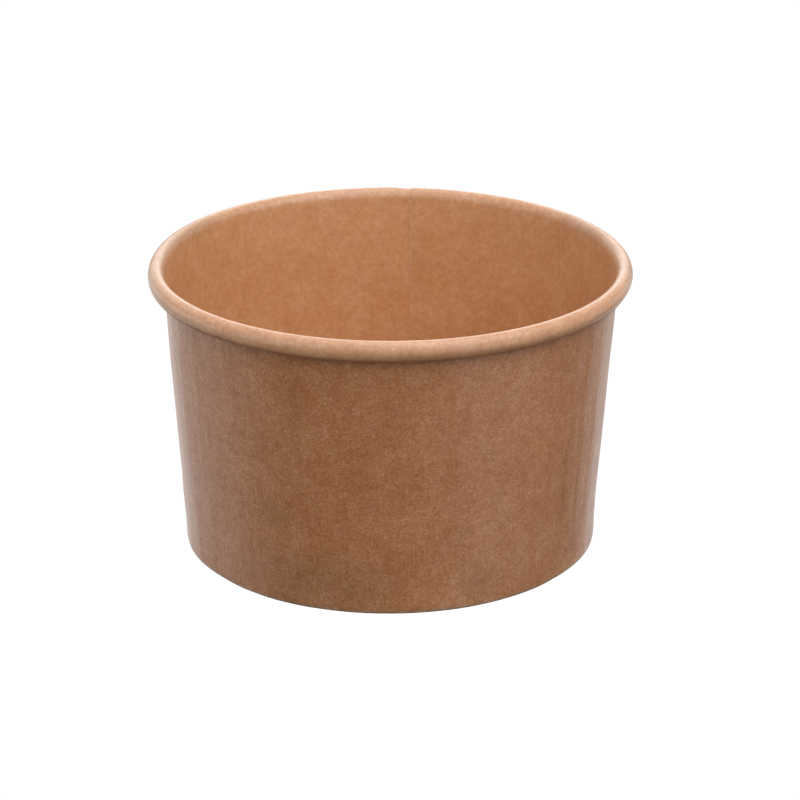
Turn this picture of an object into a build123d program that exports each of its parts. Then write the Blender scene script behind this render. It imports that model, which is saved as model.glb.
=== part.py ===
"""Paper ice cream tub, built the way the real one is: two pieces of kraft paperboard.

sidewall  one fan-shaped blank wrapped into a cone. Its ends overlap in a glued side seam,
          its top edge is curled outward into the rim bead, and its bottom edge is folded
          inward and up, round the skirt of the base.
base      one disc of the same board with its edge turned down into a skirt. The skirt is
          gripped between the wall and the folded edge, so the floor sits recessed and the
          tub stands on the fold.

Frame: millimetres, +Z up, origin on the tub's axis in the plane it stands on.
The seam is at the back, a little to the right when looked at along +Y.
"""

import os
from math import atan, cos, degrees, radians, sin

from build123d import *

# ---- driving dimensions, mm ----------------------------------------------
RIM_RADIUS = 48.0  # outside of the rim bead
HEIGHT = 57.7  # standing plane to the top of the bead
BOARD = 0.42  # thickness of the sidewall board with its coating
BASE_BOARD = 0.40  # thickness of the base board

WALL_R0 = 41.39  # outer face of the wall cone, carried down to z = 0
WALL_SLOPE = 0.0675  # radius gained for each mm of height
HEEL_TOP = 8.5  # below this the wall is nearly straight, over the folded heel
HEEL_SLOPE = 0.048
HEEL_BLEND = 60.0  # radius of the soft bend between the two

FLOOR_TOP = 7.2  # upper face of the base
FLOOR_BEND = 0.40  # inner bend radius between the base and its skirt
SKIRT_BOTTOM = 1.1
FOLD_TOP = 6.2  # cut edge of the folded-in bottom, inside the skirt
FOLD_CORNER = 0.05  # inner radius at each corner of the fold

BEAD_INNER_R, BEAD_INNER_TURN = 2.75, 30.0  # the wall eases into the bead
BEAD_OUTER_R, BEAD_OUTER_TURN = 2.75, 60.0  # the bead's outer side
BEAD_TUCK_R = 1.8  # the curled end turns back up beside the wall
BEAD_TAIL = 0.6  # straight end of the curl, hidden inside the bead
BEAD_GAP = 0.47  # from the wall's outer face to the curled end

SEAM_AZIMUTH = 84.85  # where the inner ply's cut edge shows inside, degrees from +X
SEAM_LAP = 10.2  # overlap of the two ends, degrees: 8 mm at the rim
SEAM_RAMP = 4.6  # where the outer end steps out over the inner one, degrees

BETA, GAMMA = atan(WALL_SLOPE), atan(HEEL_SLOPE)


# ---- a path of lines and tangent arcs, offset to its right --------------
class Path:
    """A tangent path in the (r, z) plane. Each item keeps what its offset needs."""

    def __init__(self, r, z, heading):
        self.p, self.h, self.items = (r, z), heading, []

    def line(self, length):
        r, z = self.p
        q = (r + length * cos(self.h), z + length * sin(self.h))
        self.items.append(("line", self.p, q, self.h))
        self.p = q
        return self

    def turn(self, radius, angle):
        """An arc to the right for a positive angle in radians, to the left for a negative one."""
        side = 1 if angle > 0 else -1
        r, z = self.p
        c = (r + side * radius * sin(self.h), z - side * radius * cos(self.h))
        h0, h1 = self.h, self.h - angle
        self.items.append(("arc", c, radius, side, h0, h1))
        self.h = h1
        self.p = (c[0] - side * radius * sin(h1), c[1] + side * radius * cos(h1))
        return self

    def edges(self, v):
        """The path moved v to its right, as edges in the XZ plane."""
        out = []
        for item in self.items:
            if item[0] == "line":
                _, a, b, h = item
                dr, dz = v * sin(h), -v * cos(h)
                out.append(Line((a[0] + dr, 0, a[1] + dz), (b[0] + dr, 0, b[1] + dz)))
            else:
                _, c, radius, side, h0, h1 = item
                rad = radius - side * v
                pts = [
                    (c[0] - side * rad * sin(h), 0, c[1] + side * rad * cos(h))
                    for h in (h0, (h0 + h1) / 2, h1)
                ]
                out.append(ThreePointArc(*pts))
        return out


def sheet_section(path, v0, v1):
    """A face between two offsets of one path, closed by its two cut ends."""
    near, far = path.edges(v0), path.edges(v1)
    ends = [
        Line(near[0] @ 0, far[0] @ 0),
        Line(near[-1] @ 1, far[-1] @ 1),
    ]
    return make_face(Wire([*near, *far, *ends]))


# ---- the sidewall's path: its inner face, from the folded edge to the curl
def wall_inner(z):
    return WALL_R0 + WALL_SLOPE * z - BOARD / cos(BETA)


heel_corner_r = WALL_R0 + WALL_SLOPE * HEEL_TOP  # outer face where the slopes meet


def heel_inner(z):
    """Inner face of the wall over the heel."""
    return heel_corner_r - HEEL_SLOPE * (HEEL_TOP - z) - BOARD / cos(GAMMA)


def bead_top_arc(z_start):
    """The top arc's radius, so that the bead's outside is at RIM_RADIUS, and the height it adds."""
    h0 = radians(90) - BETA
    h1 = h0 - radians(BEAD_INNER_TURN)
    h2 = -radians(90 - BEAD_OUTER_TURN / 2)
    eased = BEAD_INNER_R * (sin(h0) - sin(h1))
    side = BEAD_OUTER_R * (sin(h2) - sin(-radians(90)))
    radius = (RIM_RADIUS - wall_inner(z_start) - eased - side) / (sin(h1) - sin(h2))
    rise = BEAD_INNER_R * (cos(h1) - cos(h0)) + radius * (1 - cos(h1))
    return radius, rise, h1 - h2


curl_start = HEIGHT - 2.0
for _ in range(40):
    BEAD_TOP_R, rise, bead_top_turn = bead_top_arc(curl_start)
    curl_start = HEIGHT - rise


def sidewall_path(lift):
    """lift raises the fold, for the seam, where two plies stand on the same plane."""
    u_width = BASE_BOARD
    flat = u_width / cos(GAMMA) - 2 * FOLD_CORNER
    fold_z = BOARD + lift  # inner face of the fold's flat bottom
    # down the inside of the skirt, round the fold, up the wall
    r_wall = heel_inner(fold_z)
    r_down = r_wall - u_width / cos(GAMMA)
    down = -radians(90) - GAMMA  # heading down, parallel to the wall above it
    z_top = FOLD_TOP
    r_top = r_down + HEEL_SLOPE * (z_top - fold_z)
    # the two corners turn 90 + gamma and 90 - gamma, and their tangent lengths differ
    t_in = FOLD_CORNER * abs((sin(radians(90) + GAMMA)) / (1 + cos(radians(90) + GAMMA)))
    t_out = FOLD_CORNER * abs((sin(radians(90) - GAMMA)) / (1 + cos(radians(90) - GAMMA)))
    p = Path(r_top, z_top, down)
    p.line((z_top - fold_z) / cos(GAMMA) - t_in)
    p.turn(FOLD_CORNER, -(radians(90) + GAMMA))
    p.line(flat + 2 * FOLD_CORNER - t_in - t_out)
    p.turn(FOLD_CORNER, -(radians(90) - GAMMA))
    # the heel, the soft bend, the cone
    bend = BETA - GAMMA
    t_bend = HEEL_BLEND * sin(bend / 2) / cos(bend / 2)
    z_meet = (
        WALL_R0 - BOARD / cos(BETA) - (heel_corner_r - HEEL_SLOPE * HEEL_TOP - BOARD / cos(GAMMA))
    ) / (HEEL_SLOPE - WALL_SLOPE)
    p.line((z_meet - fold_z) / cos(GAMMA) - t_out - t_bend)
    p.turn(HEEL_BLEND, bend)
    p.line((curl_start - z_meet) / cos(BETA) - t_bend)
    # the curl
    p.turn(BEAD_INNER_R, radians(BEAD_INNER_TURN))
    p.turn(BEAD_TOP_R, bead_top_turn)
    p.turn(BEAD_OUTER_R, radians(BEAD_OUTER_TURN))
    h = p.h  # the bottom arc carries on to 30 degrees short of straight up
    h_up = -radians(240)
    tuck = radians(30) + BETA  # the end then turns up beside the wall
    h_end = h_up - tuck + radians(0)
    # radius of the bottom arc, so that the end stands BEAD_GAP off the wall
    r0, z0 = p.p
    radius = 1.0
    for _ in range(60):
        dr = radius * (sin(h) - sin(h_up)) + BEAD_TUCK_R * (sin(h_up) - sin(h_end))
        dz = radius * (cos(h_up) - cos(h)) + BEAD_TUCK_R * (cos(h_end) - cos(h_up))
        want = WALL_R0 + WALL_SLOPE * (z0 + dz) + BEAD_GAP / cos(BETA)
        radius += (r0 + dr - want) / 2.0
    p.turn(radius, h - h_up)
    p.turn(BEAD_TUCK_R, tuck)
    p.line(BEAD_TAIL)
    p.bottom_radius = radius
    return p


plain = sidewall_path(0.0)
lapped = sidewall_path(BOARD)

one_ply = sheet_section(plain, 0, BOARD)
outer_ply = sheet_section(lapped, BOARD, 2 * BOARD)
two_plies = sheet_section(lapped, 0, 2 * BOARD)

about = Axis.Z


def turned(shape, degrees_ccw):
    return Rot(0, 0, degrees_ccw) * shape


# one ply, from the end of the step all the way round to the seam's far side
single = revolve(
    turned(one_ply, SEAM_AZIMUTH + SEAM_RAMP), about, 360 - SEAM_RAMP - SEAM_LAP
)
# both plies over the lap
lap = revolve(turned(two_plies, SEAM_AZIMUTH - SEAM_LAP), about, SEAM_LAP)
# the outer end stepping out over the inner ply's cut edge
step = loft(
    [turned(outer_ply, SEAM_AZIMUTH), turned(one_ply, SEAM_AZIMUTH + SEAM_RAMP)],
    ruled=True,
)
sidewall = single + lap + step
sidewall.label = "sidewall"

# ---- the base: a disc with its edge turned down into a skirt ----------------
skirt_heading_turn = radians(90) + GAMMA
bend_out = FLOOR_BEND + BASE_BOARD
bend_tangent = bend_out * sin(skirt_heading_turn) / (1 + cos(skirt_heading_turn))
corner_r = heel_inner(FLOOR_TOP)  # where the floor's plane meets the wall's inner face
b = Path(0.0, FLOOR_TOP, 0.0)
b.line(corner_r - bend_tangent)
b.turn(bend_out, skirt_heading_turn)
b.line((FLOOR_TOP - SKIRT_BOTTOM) / cos(GAMMA) - bend_tangent)
base = revolve(sheet_section(b, 0, BASE_BOARD), about, 360)
base.label = "base"

# ---- write ---------------------------------------------------------------------
os.makedirs("parts", exist_ok=True)
for name, shape in (("sidewall", sidewall), ("base", base)):
    solids = shape.solids()
    assert len(solids) == 1, (name, len(solids))
    export_step(solids[0], f"parts/{name}.step")
    box = solids[0].bounding_box()
    print(name, "volume", round(solids[0].volume, 1), "valid", solids[0].is_valid, box.min, box.max)

print("bead: top arc", round(BEAD_TOP_R, 3), "bottom arc", round(plain.bottom_radius, 3),
      "curl starts at z", round(curl_start, 3), "wall angle", round(degrees(BETA), 2))
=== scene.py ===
"""Looks of a round kraft paper tub: the seamed, curled and folded sidewall and its recessed base.

The sidewall is one sheet of board with its true thickness. A profile of lines and tangent arcs
runs from the folded edge, round the heel, up the wall and round the curl, and the sheet is
carried round the axis for a full turn and a lap, so its two ends overlap in the side seam.
Lengths in the tables below are millimetres, and the meshes are in metres.
"""

import math

import bpy
import numpy as np
from mathutils import Matrix, Vector


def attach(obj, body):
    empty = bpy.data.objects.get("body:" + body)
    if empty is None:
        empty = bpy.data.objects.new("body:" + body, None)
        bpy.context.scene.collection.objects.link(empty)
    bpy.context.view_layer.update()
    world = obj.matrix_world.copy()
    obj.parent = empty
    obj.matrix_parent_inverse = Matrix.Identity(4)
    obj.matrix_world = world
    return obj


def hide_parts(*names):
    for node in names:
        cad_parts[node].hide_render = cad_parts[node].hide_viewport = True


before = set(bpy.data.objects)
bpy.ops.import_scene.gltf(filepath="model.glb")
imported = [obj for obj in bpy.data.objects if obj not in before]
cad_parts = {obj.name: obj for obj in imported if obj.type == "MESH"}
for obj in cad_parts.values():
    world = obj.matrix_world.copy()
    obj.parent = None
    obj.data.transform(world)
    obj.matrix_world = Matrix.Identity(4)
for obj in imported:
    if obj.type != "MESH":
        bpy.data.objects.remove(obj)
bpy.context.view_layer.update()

MM = 0.001
SEED = 7

# ---- the tub's own dimensions, as in the frame -------------------------------------------
RIM_RADIUS, HEIGHT = 48.0, 57.7
BOARD, BASE_BOARD = 0.42, 0.40
WALL_R0, WALL_SLOPE = 41.39, 0.0675
HEEL_TOP, HEEL_SLOPE, HEEL_BLEND = 8.5, 0.048, 60.0
FLOOR_TOP, FLOOR_BEND, SKIRT_BOTTOM = 7.2, 0.40, 1.1
FOLD_TOP, FOLD_CORNER = 6.2, 0.05
BEAD_INNER_R, BEAD_INNER_TURN = 2.75, 30.0
BEAD_OUTER_R, BEAD_OUTER_TURN = 2.75, 60.0
BEAD_TUCK_R, BEAD_TAIL, BEAD_GAP = 1.8, 0.6, 0.47
SEAM_AZIMUTH, SEAM_LAP, SEAM_RAMP = 84.85, 10.2, 4.6
SEAM_BEVEL = 0.80  # the inner end is crushed thin by the clamp over this many degrees
BETA, GAMMA = math.atan(WALL_SLOPE), math.atan(HEEL_SLOPE)


def smooth(x):
    x = np.clip(x, 0.0, 1.0)
    return x * x * (3 - 2 * x)


# ---- profile ------------------------------------------------------------------------------
class Profile:
    """A tangent path in (r, z), sampled as points, headings and distance along the sheet."""

    def __init__(self, r, z, heading):
        self.p, self.h, self.s = (r, z), heading, 0.0
        self.rows = [(r, z, heading, 0.0)]

    def line(self, length, steps=1):
        r, z = self.p
        c, d = math.cos(self.h), math.sin(self.h)
        for k in range(1, steps + 1):
            a = length * k / steps
            self.rows.append((r + a * c, z + a * d, self.h, self.s + a))
        self.p, self.s = (r + length * c, z + length * d), self.s + length
        return self

    def turn(self, radius, angle, steps=4):
        """Turns right for a positive angle in radians and left for a negative one."""
        side = 1 if angle > 0 else -1
        r, z = self.p
        cr, cz = r + side * radius * math.sin(self.h), z - side * radius * math.cos(self.h)
        h0 = self.h
        for k in range(1, steps + 1):
            h = h0 - angle * k / steps
            self.rows.append(
                (
                    cr - side * radius * math.sin(h),
                    cz + side * radius * math.cos(h),
                    h,
                    self.s + radius * abs(angle) * k / steps,
                )
            )
        self.h = h0 - angle
        self.p = self.rows[-1][:2]
        self.s += radius * abs(angle)
        return self

    def arrays(self):
        """Points, right-hand normals and distance, as arrays."""
        a = np.array(self.rows)
        h = a[:, 2]
        return a[:, :2], np.stack([np.sin(h), -np.cos(h)], 1), a[:, 3]


def wall_inner(z):
    return WALL_R0 + WALL_SLOPE * z - BOARD / math.cos(BETA)


HEEL_CORNER_R = WALL_R0 + WALL_SLOPE * HEEL_TOP


def heel_inner(z):
    return HEEL_CORNER_R - HEEL_SLOPE * (HEEL_TOP - z) - BOARD / math.cos(GAMMA)


def bead_top(z_start):
    h0 = math.radians(90) - BETA
    h1 = h0 - math.radians(BEAD_INNER_TURN)
    h2 = -math.radians(90 - BEAD_OUTER_TURN / 2)
    eased = BEAD_INNER_R * (math.sin(h0) - math.sin(h1))
    side = BEAD_OUTER_R * (math.sin(h2) + 1.0)
    radius = (RIM_RADIUS - wall_inner(z_start) - eased - side) / (math.sin(h1) - math.sin(h2))
    rise = BEAD_INNER_R * (math.cos(h1) - math.cos(h0)) + radius * (1 - math.cos(h1))
    return radius, rise, h1 - h2


curl_start = HEIGHT - 2.0
for _ in range(40):
    BEAD_TOP_R, bead_rise, bead_top_turn = bead_top(curl_start)
    curl_start = HEIGHT - bead_rise


def sidewall_profile(lift):
    """Face v = 0 of the sheet, the one inside the tub, from the folded edge to the curl's end."""
    fold_z = BOARD + lift
    r_wall = heel_inner(fold_z)
    r_down = r_wall - BASE_BOARD / math.cos(GAMMA)
    down = -math.radians(90) - GAMMA
    r_top = r_down + HEEL_SLOPE * (FOLD_TOP - fold_z)
    q = math.radians(90)
    t_in = FOLD_CORNER * abs(math.sin(q + GAMMA) / (1 + math.cos(q + GAMMA)))
    t_out = FOLD_CORNER * abs(math.sin(q - GAMMA) / (1 + math.cos(q - GAMMA)))
    p = Profile(r_top, FOLD_TOP, down)
    p.line((FOLD_TOP - fold_z) / math.cos(GAMMA) - t_in, 4)
    p.turn(FOLD_CORNER, -(q + GAMMA), 4)
    p.line(BASE_BOARD / math.cos(GAMMA) - t_in - t_out, 1)
    p.turn(FOLD_CORNER, -(q - GAMMA), 4)
    bend = BETA - GAMMA
    t_bend = HEEL_BLEND * math.tan(bend / 2)
    z_meet = (
        WALL_R0
        - BOARD / math.cos(BETA)
        - (HEEL_CORNER_R - HEEL_SLOPE * HEEL_TOP - BOARD / math.cos(GAMMA))
    ) / (HEEL_SLOPE - WALL_SLOPE)
    p.line((z_meet - fold_z) / math.cos(GAMMA) - t_out - t_bend, 6)
    p.turn(HEEL_BLEND, bend, 2)
    p.line((curl_start - z_meet) / math.cos(BETA) - t_bend, 38)
    p.curl_s = p.s
    p.turn(BEAD_INNER_R, math.radians(BEAD_INNER_TURN), 3)
    p.turn(BEAD_TOP_R, bead_top_turn, 13)
    p.turn(BEAD_OUTER_R, math.radians(BEAD_OUTER_TURN), 6)
    h, h_up = p.h, -math.radians(240)
    tuck = math.radians(30) + BETA
    r0, z0 = p.p
    radius = 1.0
    for _ in range(60):
        h_end = h_up - tuck
        dr = radius * (math.sin(h) - math.sin(h_up)) + BEAD_TUCK_R * (math.sin(h_up) - math.sin(h_end))
        dz = radius * (math.cos(h_up) - math.cos(h)) + BEAD_TUCK_R * (math.cos(h_end) - math.cos(h_up))
        want = WALL_R0 + WALL_SLOPE * (z0 + dz) + BEAD_GAP / math.cos(BETA)
        radius += (r0 + dr - want) / 2.0
    p.turn(radius, h - h_up, 11)
    p.turn(BEAD_TUCK_R, tuck, 3)
    p.line(BEAD_TAIL, 1)
    return (*p.arrays(), p.curl_s)


# ---- how far the wall departs from a true cone --------------------------------------------
def waves(az, z):
    """Outward departure of the wall in mm, for azimuth in radians and height in mm. Board that
    was wrapped, heated and clamped is out of round by a tenth or two and faintly rippled."""
    rng = np.random.RandomState(SEED)
    d = 0.0
    h = z / HEIGHT
    # slow out-of-round, differing between foot and rim
    d = d + 0.07 * np.cos(2 * (az - 0.35)) * (1.3 * h - 0.55)
    d = d + 0.05 * np.cos(3 * (az + 0.9)) * np.sin(3.1 * h)
    # the left side is pressed in a little under the bead, the right side bellies there
    left = np.exp(-((np.angle(np.exp(1j * (az - math.pi))) / 0.55) ** 2))
    right = np.exp(-((np.angle(np.exp(1j * az)) / 0.55) ** 2))
    d = d - 0.16 * left * smooth((h - 0.62) / 0.3)
    d = d + 0.09 * left * np.exp(-(((z - 7.0) / 5.0) ** 2))
    d = d + 0.13 * right * np.exp(-(((z - 45.0) / 8.0) ** 2))
    d = d - 0.08 * right * np.exp(-(((z - 14.0) / 5.0) ** 2))
    # upright ripples along the cone's lines, a few millimetres apart
    for _ in range(16):
        n = rng.uniform(16, 70)
        k = int(round(n))
        amp = 0.020 * (16.0 / n) ** 0.9
        d = d + amp * np.cos(k * az + rng.uniform(0, 6.28) + rng.uniform(-1.2, 1.2) * np.sin(rng.uniform(1.5, 5) * h + rng.uniform(0, 6.28)))
    return d


def wall_window(z):
    """Full on the wall, fading out into the curl and towards the foot."""
    return smooth((HEIGHT - 2.2 - z) / 5.0) * (0.25 + 0.75 * smooth(z / 9.0))


# Where the outline leaves the true cone, mm outward: up the left and right sides by height,
# and round the foot by azimuth in degrees.
SIDE_Z = (0.0, 2.0, 5.0, 10.0, 14.0, 22.0, 30.0, 38.0, 43.0, 50.0)
LEFT_OUT = (0.0, -0.05, -0.12, -0.04, -0.12, -0.13, -0.16, -0.14, -0.15, -0.20)
RIGHT_OUT = (-0.02, -0.05, -0.16, -0.16, -0.09, -0.08, -0.04, -0.11, -0.08, -0.04)
FOOT_AZ = (0, 40, 90, 140, 178, 190, 198, 206, 212, 218, 226, 238, 246, 254, 262, 270, 278, 290, 302, 314, 322, 330, 338, 350, 360)
FOOT_OUT = (-0.06, 0.05, -0.08, 0.06, -0.05, 0.0, 0.16, 0.18, 0.07, 0.02, 0.17, 0.32, 0.32, 0.22, 0.24, 0.18, 0.15, 0.12, 0.02, -0.03, -0.20, -0.12, -0.02, -0.08, -0.06)


def outline(az, z):
    """Outward departure in mm of the wall's outline, for azimuth in radians and height in mm."""
    left = np.exp(-((np.angle(np.exp(1j * (az - math.pi))) / 0.6) ** 2))
    right = np.exp(-((np.angle(np.exp(1j * az)) / 0.6) ** 2))
    d = left * np.interp(z, SIDE_Z, LEFT_OUT) + right * np.interp(z, SIDE_Z, RIGHT_OUT)
    foot = np.interp(np.degrees(az) % 360.0, FOOT_AZ, FOOT_OUT) * np.exp(-((z / 5.0) ** 2))
    return (d + foot) * smooth((HEIGHT - 2.2 - z) / 5.0)


def rim_shift(az, r, z):
    """The bead's own departures in mm, outward and up: pressed in at the left, tucked in under
    its outer side at the front and right, and a little higher at the back."""
    on_bead = smooth((z - (HEIGHT - 8.0)) / 4.0)
    at_left = np.exp(-((np.angle(np.exp(1j * (az - math.radians(174.0)))) / math.radians(16.0)) ** 2))
    at_back = smooth((np.sin(az) - 0.05) / 0.6)
    tuck = smooth((HEIGHT - 2.1 - z) / 1.3) * smooth((r - 46.2) / 0.9) * smooth((np.cos(az) + 0.35) / 0.6)
    return (-0.18 * at_left - 0.20 * tuck) * on_bead, 0.12 * at_back * on_bead


FOOT_PRESS = 0.45  # the heel's roller flattens both plies of the seam by this much


def seam_step(az_deg, thick):
    """How far the wall's inner face stands back beside the inner ply's end, in mm."""
    d = az_deg - SEAM_AZIMUTH
    stepped = thick * smooth((SEAM_RAMP - d) / SEAM_RAMP)
    crushed = 0.84 * thick * np.clip(1 + d / SEAM_BEVEL, 0, 1) ** 1.15
    return np.where((d >= 0) & (d < SEAM_RAMP), stepped, np.where((d < 0) & (d > -SEAM_BEVEL), crushed, 0.0))


# ---- meshes ------------------------------------------------------------------------------
LINED, PLAIN, EDGE = 0, 1, 2  # material slots: the face inside the tub, the face outside, cut edges


def mesh_object(name, points, faces, uvs, bake_uvs, slots, sharp=38.0):
    me = bpy.data.meshes.new(name)
    me.from_pydata([tuple(p) for p in points * MM], [], faces)
    for layer_name, coords in (("sheet", uvs), ("OFBake", bake_uvs)):
        layer = me.uv_layers.new(name=layer_name)
        layer.data.foreach_set("uv", np.asarray(coords, np.float32).ravel())
    me.uv_layers["sheet"].active_render = True
    me.polygons.foreach_set("material_index", slots)
    me.polygons.foreach_set("use_smooth", [True] * len(faces))
    me.update()
    me.set_sharp_from_angle(angle=math.radians(sharp))
    ob = bpy.data.objects.new(name, me)
    bpy.context.scene.collection.objects.link(ob)
    return ob


def build_sidewall():
    plain_p, normal, along, curl_s = sidewall_profile(0.0)
    lifted_p, _, _, _ = sidewall_profile(BOARD)
    turn_total = 360.0 + SEAM_LAP
    # stations round the sheet: fine at its ends and over the step
    edge = 0.07 / 45.0 * 180 / math.pi  # the rounding of a cut edge, in degrees
    marks = [0.0, SEAM_BEVEL, SEAM_LAP, SEAM_LAP + 4.0, 360.0 - SEAM_RAMP, 360.0, turn_total - edge, turn_total]
    steps = [5, 10, 6, 0, 14, 10, 1]
    used = sum(steps)
    steps[3] = 470 - used
    psi = [0.0]
    for a, b, n in zip(marks, marks[1:], steps):
        psi += [a + (b - a) * k / n for k in range(1, n + 1)]
    psi = np.array(psi)
    # where each station stands across the lap: which ply it is, and how far the fold is lifted
    ramp = smooth((psi - (360.0 - SEAM_RAMP)) / SEAM_RAMP)
    # in the curl both plies are pressed to less than half their thickness, and at the foot to about half
    in_lap = np.where(psi < 180, 1 - smooth((psi - SEAM_LAP) / 4.0), smooth((psi - (360.0 - SEAM_RAMP)) / SEAM_RAMP))
    in_curl = smooth((along - curl_s + 2.2) / 3.2)
    lowest = int(np.argmin(plain_p[:, 1]))
    in_foot = 1 - smooth((plain_p[:, 1] - 3.0) / 5.0)
    in_foot[: lowest + 1] = 1.0
    in_foot[along > curl_s] = 0.0
    press = 1.0 - in_lap[:, None] * (0.60 * in_curl + FOOT_PRESS * in_foot)[None, :]
    thick = BOARD * press
    offset = (BOARD * press + 0.004) * ramp[:, None]
    # the fold stands on the ground, or on the outer ply where that lies under it
    under = np.where(psi < 180, in_lap * (thick[0, lowest] + 0.004), 0.0)
    lift = (under + thick[:, lowest] + offset[:, lowest] - BOARD) / BOARD
    taper = np.clip(1 - psi / SEAM_BEVEL, 0, 1) ** 1.15 * (psi < 180)
    az = np.radians(SEAM_AZIMUTH - psi)

    def section(j):
        """Closed ring of points round the board's section at station j, in (r, z)."""
        p = plain_p + (lifted_p - plain_p) * lift[j]
        near = (offset[j] + 0.84 * thick[j] * taper[j])[:, None]
        far = (offset[j] + thick[j])[:, None]
        if j == len(psi) - 1:
            near, far = near + 0.06, far - 0.06
        inner = p + normal * near
        outer = p + normal * far
        # the two long cut edges, rounded a little
        def lip(k, direction):
            h = np.array([-normal[k, 1], normal[k, 0]]) * direction
            out = []
            for f, push in ((0.12, 0.045), (0.5, 0.07), (0.88, 0.045)):
                out.append(inner[k] + (outer[k] - inner[k]) * f + h * push)
            return np.array(out)

        top_lip = lip(-1, 1.0)
        bottom_lip = lip(0, -1.0)[::-1]
        return np.vstack([inner, top_lip, outer[::-1], bottom_lip])

    n_s = len(along)
    rings = np.array([section(j) for j in range(len(psi))])
    n_ring = rings.shape[1]
    z = rings[:, :, 1]
    r = rings[:, :, 0]
    a = az[:, None] + 0 * r
    r = r + (waves(a, z) * wall_window(z) + outline(a, z)) * smooth((r - 38.0) / 2.0)
    rim_out, rim_up = rim_shift(a, r, z)
    r, z = r + rim_out, z + rim_up
    pts = np.stack([r * np.cos(a), r * np.sin(a), z], 2)
    n_j = len(psi)
    points = pts.reshape(-1, 3)

    # distances along the sheet for the pattern, and a map without overlaps for the bake
    mean_r = 44.0
    s_in, s_out = along, along[::-1]
    lip_s = np.array([0.1, 0.2, 0.3])
    v_ring = np.concatenate([s_in, s_in[-1] + lip_s, s_in[-1] + 0.4 + (s_in[-1] - s_out), 2 * s_in[-1] + 0.4 + lip_s])
    v_total = 2 * s_in[-1] + 0.8
    u_j = np.radians(psi) * mean_r
    faces, uvs, bake, slots = [], [], [], []
    far_side = 400.0  # the outer face takes its pattern from elsewhere on the same sheet

    def sheet_uv(j, k):
        v = v_ring[k] if k < n_ring else v_total
        return (u_j[j], v if k < n_s else v + far_side)

    def bake_uv(j, k):
        v = v_ring[k] if k < n_ring else v_total
        return (0.01 + 0.98 * psi[j] / turn_total, 0.01 + 0.96 * v / v_total)

    for j in range(n_j - 1):
        for k in range(n_ring):
            k2 = (k + 1) % n_ring
            faces.append((j * n_ring + k, j * n_ring + k2, (j + 1) * n_ring + k2, (j + 1) * n_ring + k))
            kk = k + 1
            uvs += [sheet_uv(j, k), sheet_uv(j, kk), sheet_uv(j + 1, kk), sheet_uv(j + 1, k)]
            bake += [bake_uv(j, k), bake_uv(j, kk), bake_uv(j + 1, kk), bake_uv(j + 1, k)]
            in_lip = (n_s - 1 <= k < n_s + 3) or (k >= n_ring - 4) or (j < 4 and along[min(k, n_s - 1)] < curl_s - 1.0)
            slots.append(EDGE if in_lip else LINED if k < n_s - 1 else PLAIN)
    # the two short cut edges: one row of points stands out between the faces
    points = list(points)
    for j, direction, flip in ((0, 1.0, False), (n_j - 1, -1.0, True)):
        t = np.array([-math.sin(az[j]), math.cos(az[j]), 0.0]) * direction
        mids = []
        for k in range(n_s):
            p0 = pts[j, k]
            p1 = pts[j, n_ring - 4 - k]
            mids.append(len(points))
            points.append((p0 + p1) / 2 + t * 0.035)
        for k in range(n_s - 1):
            i0, i1 = j * n_ring + k, j * n_ring + k + 1
            o0, o1 = j * n_ring + n_ring - 4 - k, j * n_ring + n_ring - 4 - (k + 1)
            m0, m1 = mids[k], mids[k + 1]
            for quad, w in (((i0, m0, m1, i1), (0.0, 0.2)), ((m0, o0, o1, m1), (0.2, 0.4))):
                sheet = [(w[0], along[k]), (w[1], along[k]), (w[1], along[k + 1]), (w[0], along[k + 1])]
                low = 0.975 + (0.012 if flip else 0.0)
                spot = [(0.01 + 0.98 * s / along[-1], low + 0.02 * u) for u, s in sheet]
                if flip:
                    quad, sheet, spot = quad[::-1], sheet[::-1], spot[::-1]
                faces.append(quad)
                uvs += [(u + 700.0, s + 900.0) for u, s in sheet]
                bake += spot
                slots.append(EDGE)
        # the ends of that row, between the faces and the lips
        lips_top = [j * n_ring + n_s + i for i in range(3)]
        lips_low = [j * n_ring + n_ring - 3 + i for i in range(3)]
        i_top, o_top = j * n_ring + n_s - 1, j * n_ring + n_s + 3
        i_low, o_low = j * n_ring, j * n_ring + n_ring - 4
        for poly in (
            (mids[-1], o_top, *lips_top[::-1], i_top),
            (mids[0], i_low, *lips_low[::-1], o_low),
        ):
            if flip:
                poly = poly[::-1]
            faces.append(poly)
            uvs += [(700.0, 900.0)] * len(poly)
            bake += [(0.005, 0.995)] * len(poly)
            slots.append(EDGE)
    ob = mesh_object("sidewall_board", np.array(points), faces, uvs, bake, slots)
    return ob


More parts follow.
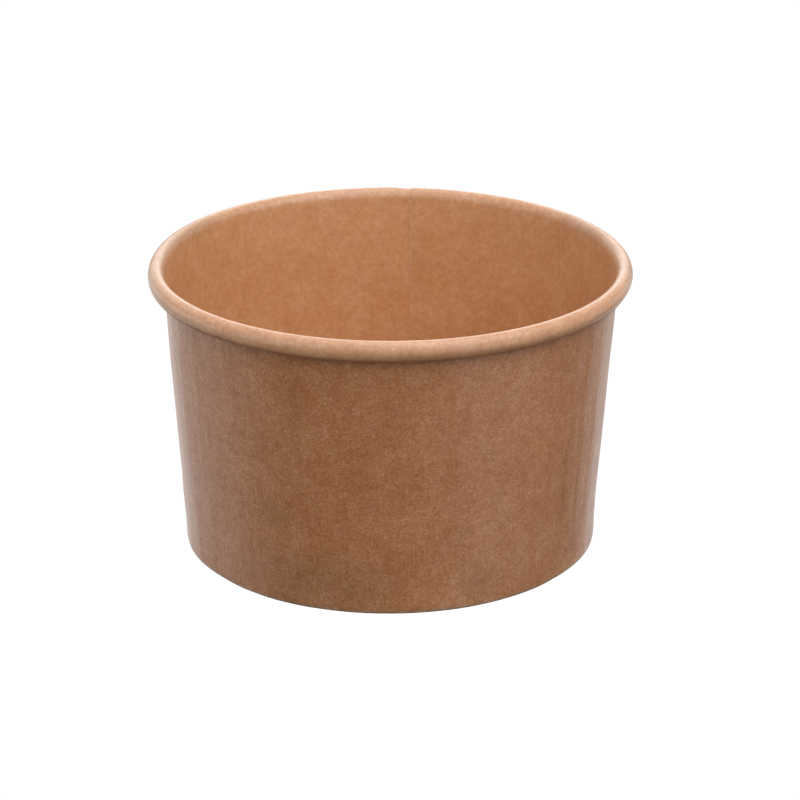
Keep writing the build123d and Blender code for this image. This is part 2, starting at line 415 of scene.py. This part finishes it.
def build_base():
    turn = math.radians(90) + GAMMA
    bend_out = FLOOR_BEND + BASE_BOARD
    tangent = bend_out * math.sin(turn) / (1 + math.cos(turn))
    corner = heel_inner(FLOOR_TOP)
    p = Profile(2.0, FLOOR_TOP, 0.0)
    p.line(corner - tangent - 2.0, 26)
    p.turn(bend_out, turn, 7)
    p.line((FLOOR_TOP - SKIRT_BOTTOM) / math.cos(GAMMA) - tangent, 5)
    pts2, nrm, along = p.arrays()
    gap = 0.012
    upper = pts2 + nrm * gap * smooth((pts2[:, :1] - 39.0) / 1.0)
    lower = pts2 + nrm * (BASE_BOARD - gap)
    n_s = len(along)
    h = np.array([-nrm[-1, 1], nrm[-1, 0]])
    lip = np.array([upper[-1] + (lower[-1] - upper[-1]) * f + h * g for f, g in ((0.15, 0.04), (0.5, 0.06), (0.85, 0.04))])
    ring = np.vstack([upper, lip, lower[::-1]])
    n_ring = len(ring)
    even = np.degrees(np.linspace(0, 2 * math.pi, 224, endpoint=False))
    even = even[(even < SEAM_AZIMUTH - 1.0) | (even > SEAM_AZIMUTH + SEAM_RAMP + 0.2)]
    near_seam = SEAM_AZIMUTH + np.array([-0.85, -0.65, -0.45, -0.25, -0.08, 0.0, 0.5, 1.1, 1.7, 2.3, 2.9, 3.5, 4.1, 4.65])
    az = np.radians(np.sort(np.concatenate([even, near_seam])))
    n_j = len(az)
    turn_at = np.append(az, 2 * math.pi)
    r = ring[None, :, 0] + 0 * az[:, None]
    z = ring[None, :, 1] + 0 * az[:, None]
    a = az[:, None] + 0 * r
    # the floor is a little domed, as blanks are when their edge is drawn in
    inside = smooth((39.0 - r) / 20.0)
    z = z + inside * (0.10 * np.cos(2 * a + 0.6) + 0.05 * np.cos(3 * a - 1.0)) * smooth(r / 20.0) - 0.22 * smooth((38.0 - r) / 38.0)
    # pressed out into the step beside the inner ply's end
    thick = BOARD * (1 - FOOT_PRESS * (1 - smooth((z - 3.0) / 5.0)))
    r = r + seam_step(np.degrees(a), thick) * smooth((r - 38.5) / 1.5)
    r = r + (waves(a, z) * wall_window(z) + outline(a, z)) * smooth((r - 39.5) / 1.5)
    pts = np.stack([r * np.cos(a), r * np.sin(a), z], 2)
    points = list(pts.reshape(-1, 3))
    faces, uvs, bake, slots = [], [], [], []
    s_all = np.concatenate([along, along[-1] + np.array([0.1, 0.2, 0.3]), along[::-1]])
    total = along[-1] + 2.0

    def flat(j, k):
        """Position on the flat blank that the disc was cut from."""
        rad = 2.0 + s_all[k]
        aa = turn_at[j]
        side = 0.0 if k < n_s + 2 else 300.0
        return (rad * math.cos(aa) + side + 150.0, rad * math.sin(aa) - 200.0)

    def spot(j, k):
        rad = (2.0 + s_all[k]) / (total + 1.0) * 0.24
        aa = turn_at[j]
        cx = 0.25 if k < n_s + 2 else 0.75
        return (cx + rad * math.cos(aa), 0.5 + rad * math.sin(aa))

    for j in range(n_j):
        j2 = (j + 1) % n_j
        for k in range(n_ring - 1):
            faces.append((j * n_ring + k, j * n_ring + k + 1, j2 * n_ring + k + 1, j2 * n_ring + k))
            ks = (k, k + 1)
            if k == n_s + 1:
                ks = (k, k)
            uvs += [flat(j, ks[0]), flat(j, ks[1]), flat(j + 1, ks[1]), flat(j + 1, ks[0])]
            bake += [spot(j, ks[0]), spot(j, ks[1]), spot(j + 1, ks[1]), spot(j + 1, ks[0])]
            slots.append(EDGE if n_s - 1 <= k <= n_s + 2 else LINED if k < n_s - 1 else PLAIN)
    # middles of both faces
    for k, up in ((0, True), (n_ring - 1, False)):
        c = len(points)
        points.append(np.array([0.0, 0.0, pts[:, k, 2].mean()]))
        for j in range(n_j):
            j2 = (j + 1) % n_j
            tri = (c, j * n_ring + k, j2 * n_ring + k)
            side = 0.0 if up else 300.0
            cuv, cb = (150.0 + side, -200.0), (0.25 if up else 0.75, 0.5)
            t_uv, t_b = [cuv, flat(j, k), flat(j + 1, k)], [cb, spot(j, k), spot(j + 1, k)]
            if not up:
                tri, t_uv, t_b = tri[::-1], t_uv[::-1], t_b[::-1]
            faces.append(tri)
            uvs += t_uv
            bake += t_b
            slots.append(LINED if up else PLAIN)
    return mesh_object("base_board", np.array(points), faces, uvs, bake, slots)


# ---- materials -----------------------------------------------------------------------------
class Nodes:
    """Short forms for building a node tree."""

    def __init__(self, name):
        self.mat = bpy.data.materials.new(name)
        self.mat.use_nodes = True
        self.tree = self.mat.node_tree
        self.tree.nodes.clear()

    def add(self, kind, **values):
        n = self.tree.nodes.new(kind)
        for key, value in values.items():
            if hasattr(n, key):
                setattr(n, key, value)
        return n

    def link(self, a, b):
        self.tree.links.new(a, b)

    def math(self, op, a, b=None, clamp=False):
        n = self.add("ShaderNodeMath", operation=op, use_clamp=clamp)
        for i, x in enumerate((a, b)):
            if x is None:
                continue
            if isinstance(x, (int, float)):
                n.inputs[i].default_value = x
            else:
                self.link(x, n.inputs[i])
        return n.outputs[0]

    def noise(self, vector, scale, detail=2.0, rough=0.5, distortion=0.0, dims="2D"):
        n = self.add("ShaderNodeTexNoise", noise_dimensions=dims)
        n.inputs["Scale"].default_value = scale
        n.inputs["Detail"].default_value = detail
        n.inputs["Roughness"].default_value = rough
        n.inputs["Distortion"].default_value = distortion
        self.link(vector, n.inputs["Vector"])
        return n.outputs["Fac"]

    def stretched(self, vector, sx, sy, turn=0.0, shift=(0.0, 0.0)):
        n = self.add("ShaderNodeMapping", vector_type="POINT")
        n.inputs["Scale"].default_value = (sx, sy, 1.0)
        n.inputs["Rotation"].default_value = (0.0, 0.0, turn)
        n.inputs["Location"].default_value = (shift[0], shift[1], 0.0)
        self.link(vector, n.inputs["Vector"])
        return n.outputs["Vector"]

    def strokes(self, vector, length, width, turn, shift=(0.0, 0.0)):
        """Coordinates in which one unit is a cell of this length and width in mm, turned in degrees."""
        n = self.add("ShaderNodeMapping", vector_type="TEXTURE")
        n.inputs["Location"].default_value = (shift[0], shift[1], 0.0)
        n.inputs["Rotation"].default_value = (0.0, 0.0, math.radians(turn))
        n.inputs["Scale"].default_value = (length, width, 1.0)
        self.link(vector, n.inputs["Vector"])
        return n.outputs["Vector"]

    def span(self, x, a, b, c=0.0, d=1.0, kind="LINEAR"):
        n = self.add("ShaderNodeMapRange", interpolation_type=kind)
        n.inputs["From Min"].default_value = a
        n.inputs["From Max"].default_value = b
        n.inputs["To Min"].default_value = c
        n.inputs["To Max"].default_value = d
        self.link(x, n.inputs["Value"])
        return n.outputs["Result"]


OUTER = (0.4211, 0.1768, 0.0731)
INNER = (0.5339, 0.2671, 0.1236)
CURLED = (0.5256, 0.2717, 0.1398)
CURL_S = sidewall_profile(0.0)[3]
# small marks in the board: place on the sheet, half lengths in mm, turn in degrees, depth
OUTER_MARKS = (
    ((165.97, 521.88), (1.7, 0.20), 56.5, 0.26),
    ((88.97, 538.59), (0.32, 0.26), 0.0, 0.26),
)
INNER_MARKS = (
    ((275.28, 38.22), (0.42, 0.28), 20.0, 0.22),
    ((5.70, 35.66), (0.42, 0.32), -30.0, 0.13),
)
# soft broad patches where the tone departs from an even board, several of them painted shade, painted highlight and
# painted reflection: place, half lengths in mm, tint
OUTER_PATCHES_AND_PAINTED_LIGHT = (
    ((150.0, 534.5), (26.0, 9.0), (0.83, 0.865, 0.91)),  # painted shade: darker and greyer along the front of the foot
    # painted shade: darker at the foot, front right
    ((115.0, 534.5), (9.0, 6.0), (0.90, 0.90, 0.90)),
    ((88.0, 539.4), (12.0, 3.6), (1.14, 1.28, 1.44)),  # painted highlight: paler at the right of the foot, where the heel catches the light
    # painted reflection: pinker up the left side of the wall
    ((198.0, 512.0), (9.0, 32.0), (1.10, 1.0, 1.0)),
    ((152.1, 499.2), (1.9, 15.0), (0.91, 0.90, 0.89)),  # faint upright streaks
    ((94.4, 518.5), (1.7, 14.0), (0.91, 0.90, 0.89)),
    ((88.8, 524.8), (1.3, 10.0), (0.93, 0.92, 0.91)),
    ((158.6, 521.2), (6.5, 5.0), (0.91, 0.93, 0.95)),
)
# painted reflection and painted shade on the curl, at the rim's left and right sides
CURL_PAINTED_LIGHT = (
    ((203.4, 65.5), (22.0, 7.0), (0.96, 1.07, 1.22)),  # painted reflection: paler and bluer at both sides of the rim
    ((65.2, 65.5), (22.0, 7.0), (0.96, 1.07, 1.22)),
    # painted reflection: a narrower, paler core at both sides of the rim
    ((203.4, 65.5), (14.0, 7.0), (1.0, 1.035, 1.08)),
    ((65.2, 65.5), (14.0, 7.0), (1.0, 1.035, 1.08)),
    # painted shade: darker and greyer beside both sides of the rim
    ((222.6, 63.6), (15.0, 4.5), (0.87, 0.92, 0.94)),
    ((43.7, 63.6), (15.0, 4.5), (0.87, 0.93, 0.98)),
)


def shades(t, fac, tone, spread, pigment):
    """The tone from dark to pale: thicker pigment darkens blue most and red least."""
    ramp = t.add("ShaderNodeValToRGB")
    e = ramp.color_ramp.elements
    while len(e) < 7:
        e.new(0.5)
    for i in range(7):
        x = i / 6.0
        e[i].position = x
        e[i].color = (*(c * math.exp(spread * k * (x - 0.5)) for c, k in zip(tone, pigment)), 1.0)
    t.link(fac, ramp.inputs["Fac"])
    return ramp.outputs["Color"]


def weighted(t, layers):
    """Sum of (noise - 0.5) * weight, about 0.5."""
    total = 0.5
    for fac, weight in layers:
        total = t.math("ADD", t.math("MULTIPLY", t.math("SUBTRACT", fac, 0.5), weight), total)
    return total


def ridge(t, fac, width):
    """Thin winding lines where the noise crosses its middle: single fibres."""
    d = t.math("ABSOLUTE", t.math("SUBTRACT", fac, 0.5))
    return t.span(d, 0.0, width, 1.0, 0.0, "SMOOTHSTEP")


def speck(t, uv, at, half, turn=0.0):
    """1 inside a soft ellipse at a place on the sheet, lengths in mm and the turn in degrees."""
    n = t.add("ShaderNodeMapping", vector_type="TEXTURE")
    n.inputs["Location"].default_value = (at[0], at[1], 0.0)
    n.inputs["Rotation"].default_value = (0.0, 0.0, math.radians(turn))
    n.inputs["Scale"].default_value = (half[0], half[1], 1.0)
    t.link(uv, n.inputs["Vector"])
    length = t.add("ShaderNodeVectorMath", operation="LENGTH")
    t.link(n.outputs["Vector"], length.inputs[0])
    return t.span(length.outputs["Value"], 0.2, 1.0, 1.0, 0.0, "SMOOTHSTEP")


def tinted(t, colour, hue):
    """The colour shifted between a yellower and a pinker kraft, as the pulp's mix varies."""
    ramp = t.add("ShaderNodeValToRGB")
    e = ramp.color_ramp.elements
    e[0].position, e[1].position = 0.2, 0.8
    e[0].color = (0.985, 1.0, 0.945, 1.0)
    e[1].color = (1.015, 1.0, 1.058, 1.0)
    t.link(hue, ramp.inputs["Fac"])
    mix = t.add("ShaderNodeMix", data_type="RGBA", blend_type="MULTIPLY")
    mix.inputs[0].default_value = 1.0
    t.link(colour, mix.inputs[6])
    t.link(ramp.outputs["Color"], mix.inputs[7])
    return mix.outputs[2]


def toned(t, colour, fac, tint):
    """The colour multiplied by a tint where fac is 1."""
    mix = t.add("ShaderNodeMix", data_type="RGBA", blend_type="MULTIPLY")
    t.link(fac, mix.inputs[0])
    t.link(colour, mix.inputs[6])
    mix.inputs[7].default_value = (*tint, 1.0)
    return mix.outputs[2]


def outer_face(name):
    """Uncoated-looking kraft with a thin sealing coat: felt-like fibres and drawn streaks."""
    t = Nodes(name)
    out = t.add("ShaderNodeOutputMaterial")
    bsdf = t.add("ShaderNodeBsdfPrincipled")
    t.link(bsdf.outputs[0], out.inputs["Surface"])
    uv = t.add("ShaderNodeUVMap", uv_map="sheet").outputs["UV"]  # in millimetres
    a0 = t.noise(t.strokes(uv, 0.62, 0.33, 0.0, (3.0, 47.0)), 1.0, 1.0, 0.25, 0.3)
    a1 = t.noise(t.strokes(uv, 0.62, 0.33, 42.0, (23.0, 7.0)), 1.0, 1.0, 0.25, 0.3)
    a2 = t.noise(t.strokes(uv, 0.62, 0.33, -42.0, (43.0, 77.0)), 1.0, 1.0, 0.25, 0.3)
    a3 = t.noise(t.strokes(uv, 1.5, 0.36, 90.0, (63.0, 17.0)), 1.0, 0.0)
    n1 = t.noise(t.stretched(uv, 0.85, 1.08, 0.0, (13.0, 7.0)), 1.35, 0.0, 0.5, 0.5)
    n2 = t.noise(t.stretched(uv, 0.9, 1.1, 0.0, (31.0, 17.0)), 0.66, 0.0)
    n3 = t.noise(t.stretched(uv, 1.0, 1.0, 0.0, (51.0, 27.0)), 0.32, 0.0)
    n4 = t.noise(t.stretched(uv, 1.1, 0.8, 0.0, (71.0, 37.0)), 0.14, 0.0)
    f1 = ridge(t, t.noise(t.stretched(uv, 1.0, 1.0, 0.5, (5.0, 3.0)), 0.9, 2.0, 0.6, 0.6), 0.030)
    f2 = ridge(t, t.noise(t.stretched(uv, 1.0, 1.0, -0.6, (25.0, 13.0)), 1.1, 2.0, 0.6, 0.6), 0.030)
    total = weighted(t, ((a0, 0.62), (a1, 0.46), (a2, 0.46), (a3, 0.16), (n1, 0.36), (n2, 0.32), (n3, 0.26), (n4, 0.28)))
    total = t.math("ADD", total, t.math("MULTIPLY", t.math("SUBTRACT", f1, f2), 0.08))
    for at, half, turn, depth in OUTER_MARKS:
        total = t.math("SUBTRACT", total, t.math("MULTIPLY", speck(t, uv, at, half, turn), depth))
    hue = weighted(t, ((t.noise(t.stretched(uv, 1.0, 1.0, 0.0, (17.0, 57.0)), 0.75, 0.0), 0.8), (t.noise(t.stretched(uv, 1.0, 1.0, 0.0, (37.0, 67.0)), 0.22, 0.0), 0.9)))
    colour = tinted(t, shades(t, total, OUTER, 0.53, (1.0, 1.77, 2.65)), hue)
    # the board's own patches, with painted shade, painted highlight and painted reflection
    for at, half, tint in OUTER_PATCHES_AND_PAINTED_LIGHT:
        colour = toned(t, colour, speck(t, uv, at, half), tint)
    # painted contact shade: a greyer line along the fold that the tub stands on
    part = t.add("ShaderNodeSeparateXYZ")
    t.link(uv, part.inputs[0])
    fold_contact_shade = t.math(
        "MULTIPLY",
        t.span(part.outputs["Y"], 538.85, 539.50, 0.0, 1.0, "SMOOTHSTEP"),
        t.span(part.outputs["Y"], 539.95, 540.80, 1.0, 0.0, "SMOOTHSTEP"),
    )
    t.link(toned(t, colour, fold_contact_shade, (0.90, 1.18, 1.60)), bsdf.inputs["Base Color"])
    bsdf.inputs["Roughness"].default_value = 0.43
    bsdf.inputs["IOR"].default_value = 1.60
    bsdf.inputs["Coat Weight"].default_value = 0.30
    bsdf.inputs["Coat Roughness"].default_value = 0.20
    bsdf.inputs["Coat IOR"].default_value = 1.50
    # streaks drawn up the wall, and the fibres' own relief
    s0 = t.noise(t.stretched(uv, 1.0, 0.05, 0.0, (19.0, 14.0)), 2.6, 1.0, 0.5)
    s1 = t.noise(t.stretched(uv, 1.0, 0.07, 0.0, (9.0, 4.0)), 1.3, 1.0, 0.5)
    s2 = t.noise(t.stretched(uv, 1.0, 0.09, 0.0, (29.0, 44.0)), 0.45, 1.0, 0.5)
    relief = weighted(t, ((s0, 0.75), (s1, 0.75), (s2, 1.30), (a0, 0.16), (a1, 0.12), (a2, 0.12), (n1, 0.14)))
    bump = t.add("ShaderNodeBump")
    bump.inputs["Strength"].default_value = 1.0
    bump.inputs["Distance"].default_value = 0.00006
    t.link(relief, bump.inputs["Height"])
    t.link(bump.outputs["Normal"], bsdf.inputs["Normal"])
    t.link(bump.outputs["Normal"], bsdf.inputs["Coat Normal"])
    return t.mat


def lined_face(name):
    """The food side: smoother, paler and more golden, a little less orange over the curl, with painted reflection at
    the rim's sides and painted shade under the curl.
    """
    t = Nodes(name)
    out = t.add("ShaderNodeOutputMaterial")
    bsdf = t.add("ShaderNodeBsdfPrincipled")
    t.link(bsdf.outputs[0], out.inputs["Surface"])
    uv = t.add("ShaderNodeUVMap", uv_map="sheet").outputs["UV"]  # in millimetres
    part = t.add("ShaderNodeSeparateXYZ")
    t.link(uv, part.inputs[0])
    curl = t.span(part.outputs["Y"], CURL_S - 0.3, CURL_S + 1.2, 0.0, 1.0, "SMOOTHSTEP")
    n0 = t.noise(t.stretched(uv, 0.9, 1.05, 0.0, (83.0, 47.0)), 2.9, 1.0, 0.6)
    n1 = t.noise(t.stretched(uv, 0.9, 1.05, 0.0, (93.0, 7.0)), 1.35, 0.0)
    n2 = t.noise(t.stretched(uv, 1.0, 1.0, 0.0, (11.0, 87.0)), 0.66, 0.0)
    n3 = t.noise(t.stretched(uv, 1.0, 1.0, 0.0, (21.0, 27.0)), 0.32, 0.0)
    n4 = t.noise(t.stretched(uv, 1.1, 0.8, 0.0, (41.0, 37.0)), 0.14, 0.0)
    fine = weighted(t, ((n0, 0.29), (n1, 0.26)))
    fine = t.math("ADD", t.math("MULTIPLY", t.math("SUBTRACT", fine, 0.5), t.span(curl, 0.0, 1.0, 1.0, 1.4)), 0.5)
    broad = weighted(t, ((n2, 0.22), (n3, 0.19), (n4, 0.19)))
    total = t.math("SUBTRACT", t.math("ADD", fine, broad), 0.5)
    for at, half, turn, depth in INNER_MARKS:
        total = t.math("SUBTRACT", total, t.math("MULTIPLY", speck(t, uv, at, half, turn), depth))
    hue = weighted(t, ((t.noise(t.stretched(uv, 1.0, 1.0, 0.0, (27.0, 57.0)), 0.75, 0.0), 0.55), (t.noise(t.stretched(uv, 1.0, 1.0, 0.0, (47.0, 67.0)), 0.22, 0.0), 0.6)))
    mix = t.add("ShaderNodeMix", data_type="RGBA")
    t.link(curl, mix.inputs[0])
    t.link(shades(t, total, INNER, 0.50, (1.0, 1.9, 2.85)), mix.inputs[6])
    t.link(shades(t, total, CURLED, 0.50, (1.0, 1.7, 2.4)), mix.inputs[7])
    colour = tinted(t, mix.outputs[2], hue)
    # painted reflection and painted shade at the rim's sides
    for at, half, tint in CURL_PAINTED_LIGHT:
        colour = toned(t, colour, speck(t, uv, at, half), tint)
    # painted shade: the underside of the curl is darker, and duller through its roughness and coat
    under = t.span(part.outputs["Y"], CURL_S + 6.5, CURL_S + 7.5, 0.0, 1.0, "SMOOTHSTEP")
    t.link(toned(t, colour, under, (0.82, 0.66, 0.52)), bsdf.inputs["Base Color"])
    t.link(t.span(under, 0.0, 1.0, 0.43, 0.88), bsdf.inputs["Roughness"])
    bsdf.inputs["IOR"].default_value = 1.60
    t.link(t.span(under, 0.0, 1.0, 0.32, 0.0), bsdf.inputs["Coat Weight"])
    bsdf.inputs["Coat Roughness"].default_value = 0.20
    bsdf.inputs["Coat IOR"].default_value = 1.50
    bump = t.add("ShaderNodeBump")
    bump.inputs["Strength"].default_value = 0.5
    bump.inputs["Distance"].default_value = 0.00004
    t.link(fine, bump.inputs["Height"])
    t.link(bump.outputs["Normal"], bsdf.inputs["Normal"])
    return t.mat


def edge_material(name):
    t = Nodes(name)
    out = t.add("ShaderNodeOutputMaterial")
    bsdf = t.add("ShaderNodeBsdfPrincipled")
    t.link(bsdf.outputs[0], out.inputs["Surface"])
    uv = t.add("ShaderNodeUVMap", uv_map="sheet").outputs["UV"]
    fibres = t.noise(t.stretched(uv, 9.0, 1.6), 1.0, 3.0, 0.6)
    ramp = t.add("ShaderNodeValToRGB")
    e = ramp.color_ramp.elements
    e[0].position, e[1].position = 0.28, 0.72
    e[0].color = (0.50, 0.27, 0.14, 1)
    e[1].color = (0.70, 0.42, 0.25, 1)
    t.link(fibres, ramp.inputs["Fac"])
    t.link(ramp.outputs["Color"], bsdf.inputs["Base Color"])
    bsdf.inputs["Roughness"].default_value = 0.85
    bump = t.add("ShaderNodeBump")
    bump.inputs["Strength"].default_value = 0.5
    bump.inputs["Distance"].default_value = 0.00006
    t.link(fibres, bump.inputs["Height"])
    t.link(bump.outputs["Normal"], bsdf.inputs["Normal"])
    return t.mat


# ---- put together ------------------------------------------------------------------------
lined = lined_face("kraft_lined_face")
plain = outer_face("kraft_outer_face")
raw_edge = edge_material("kraft_cut_edge")

sidewall = build_sidewall()
base = build_base()
for ob, node, slot in ((sidewall, "sidewall", "kraft_wall"), (base, "base", "kraft_base")):
    for material in (lined, plain, raw_edge):
        ob.data.materials.append(material)
    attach(ob, "root")
    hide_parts(node)

# ---- camera ------------------------------------------------------------------------------
scene = bpy.context.scene
cam_data = bpy.data.cameras.new("camera")
cam_data.sensor_width = 36.0
cam_data.sensor_fit = "HORIZONTAL"
cam_data.lens = 135.13
cam_data.clip_start, cam_data.clip_end = 0.01, 20.0
cam = bpy.data.objects.new("camera", cam_data)
cam.location = (0.00197, -0.56251, 0.25087)
cam.rotation_euler = (math.radians(90 - 21.637), 0.0, 0.0)
scene.collection.objects.link(cam)
scene.camera = cam

# ---- floor and light -----------------------------------------------------------------------
floor_mesh = bpy.data.meshes.new("floor")
R = 3.0
floor_mesh.from_pydata([(-R, -R, 0), (R, -R, 0), (R, R, 0), (-R, R, 0)], [], [(0, 1, 2, 3)])
floor = bpy.data.objects.new("floor", floor_mesh)
scene.collection.objects.link(floor)
ft = Nodes("pale_floor")
f_out = ft.add("ShaderNodeOutputMaterial")
f_em = ft.add("ShaderNodeEmission")
f_em.inputs["Color"].default_value = (1, 1, 1, 1)
f_em.inputs["Strength"].default_value = 1.05
ft.link(f_em.outputs[0], f_out.inputs["Surface"])
floor.data.materials.append(ft.mat)
floor.visible_glossy = False
floor.visible_diffuse = False
floor.visible_shadow = False

# white surround behind everything, which lights nothing: the soft boxes do that
world = bpy.data.worlds.new("studio")
scene.world = world
world.use_nodes = True
w_tree = world.node_tree
w_path = w_tree.nodes.new("ShaderNodeLightPath")
w_tree.links.new(w_path.outputs["Is Camera Ray"], w_tree.nodes["Background"].inputs["Strength"])
w_tree.nodes["Background"].inputs["Color"].default_value = (1, 1, 1, 1)

# A tent of soft boxes round the tub. Each ring is (elevation, width, height, distance) in degrees
# and metres, then brightness by azimuth in degrees: 0 at the camera's side, 90 right, 180 behind.
TENT = {
    (90, 0.45, 0.45, 1): {0: 1.35},
    (90, 0.9, 0.9, 1.3): {0: 1.89},
    (62, 0.45, 0.45, 1): {0: 1.24, 60: 2.25, 120: 0.41, 180: 0.58, 240: 0.8, 300: 0.28},
    (48, 0.24, 0.24, 1): {0: 0.5, 30: 0.86, 60: 1.04, 90: 0.23, 180: 0.21, 240: 0.32, 270: 0.34, 300: 0.31, 330: 0.54},
    (35, 0.45, 0.5, 1): {0: 1.59, 30: 2.49, 60: 2.32, 90: 1.13, 120: 0.66, 150: 1.25, 180: 2.17, 210: 1.05, 240: 1.03, 270: 1.03, 300: 0.97, 330: 1.43},
    (5, 0.5, 0.48, 1): {0: 0.6, 30: 1.02, 60: 0.71, 300: 1.27, 330: 0.45},
    (13, 0.25, 0.28, 1): {90: 0.45, 105: 0.24, 120: 0.53, 135: 0.65, 150: 0.51, 165: 1.97, 180: 2.61, 195: 1.7, 210: 1.28, 225: 0.5, 240: 0.18, 255: 0.43, 270: 0.66},
    (-3, 0.25, 0.28, 1): {90: 0.75, 105: 0.6, 120: 1.18, 135: 1.04, 150: 0.45, 165: 0.36, 180: 0.36, 195: 0.11, 210: 0.79, 225: 1.49, 240: 1.42, 255: 1.77, 270: 2.09},
    (-25, 0.25, 0.5, 1): {105: 0.22, 135: 0.64, 150: 1.04, 165: 1.0, 180: 3.2, 195: 1.1, 210: 1.23, 225: 0.81, 240: 0.42, 255: 0.75, 270: 0.69, 285: 0.23},
    (-25, 0.45, 0.5, 1): {0: 0.09, 45: 0.68, 75: 0.4},
}
for (elevation, width, height, distance), ring in TENT.items():
    for azimuth, level in ring.items():
        lamp = bpy.data.lights.new(f"box_{azimuth}_{elevation}_{width}", "AREA")
        lamp.shape, lamp.size, lamp.size_y = "RECTANGLE", width, height
        lamp.energy = math.pi * width * height * level
        box = bpy.data.objects.new(lamp.name, lamp)
        scene.collection.objects.link(box)
        a_, e_ = math.radians(azimuth), math.radians(elevation)
        toward = Vector((math.sin(a_) * math.cos(e_), -math.cos(a_) * math.cos(e_), math.sin(e_)))
        level_axis = Vector((math.cos(a_), math.sin(a_), 0.0))
        box.location = toward * distance + Vector((0.0, 0.0, 0.03))
        box.rotation_mode = "QUATERNION"
        box.rotation_quaternion = Matrix((level_axis, toward.cross(level_axis), toward)).transposed().to_quaternion()
        box.visible_camera = False

scene.view_settings.view_transform = "Standard"
scene.view_settings.look = "None"

bpy.context.view_layer.update()
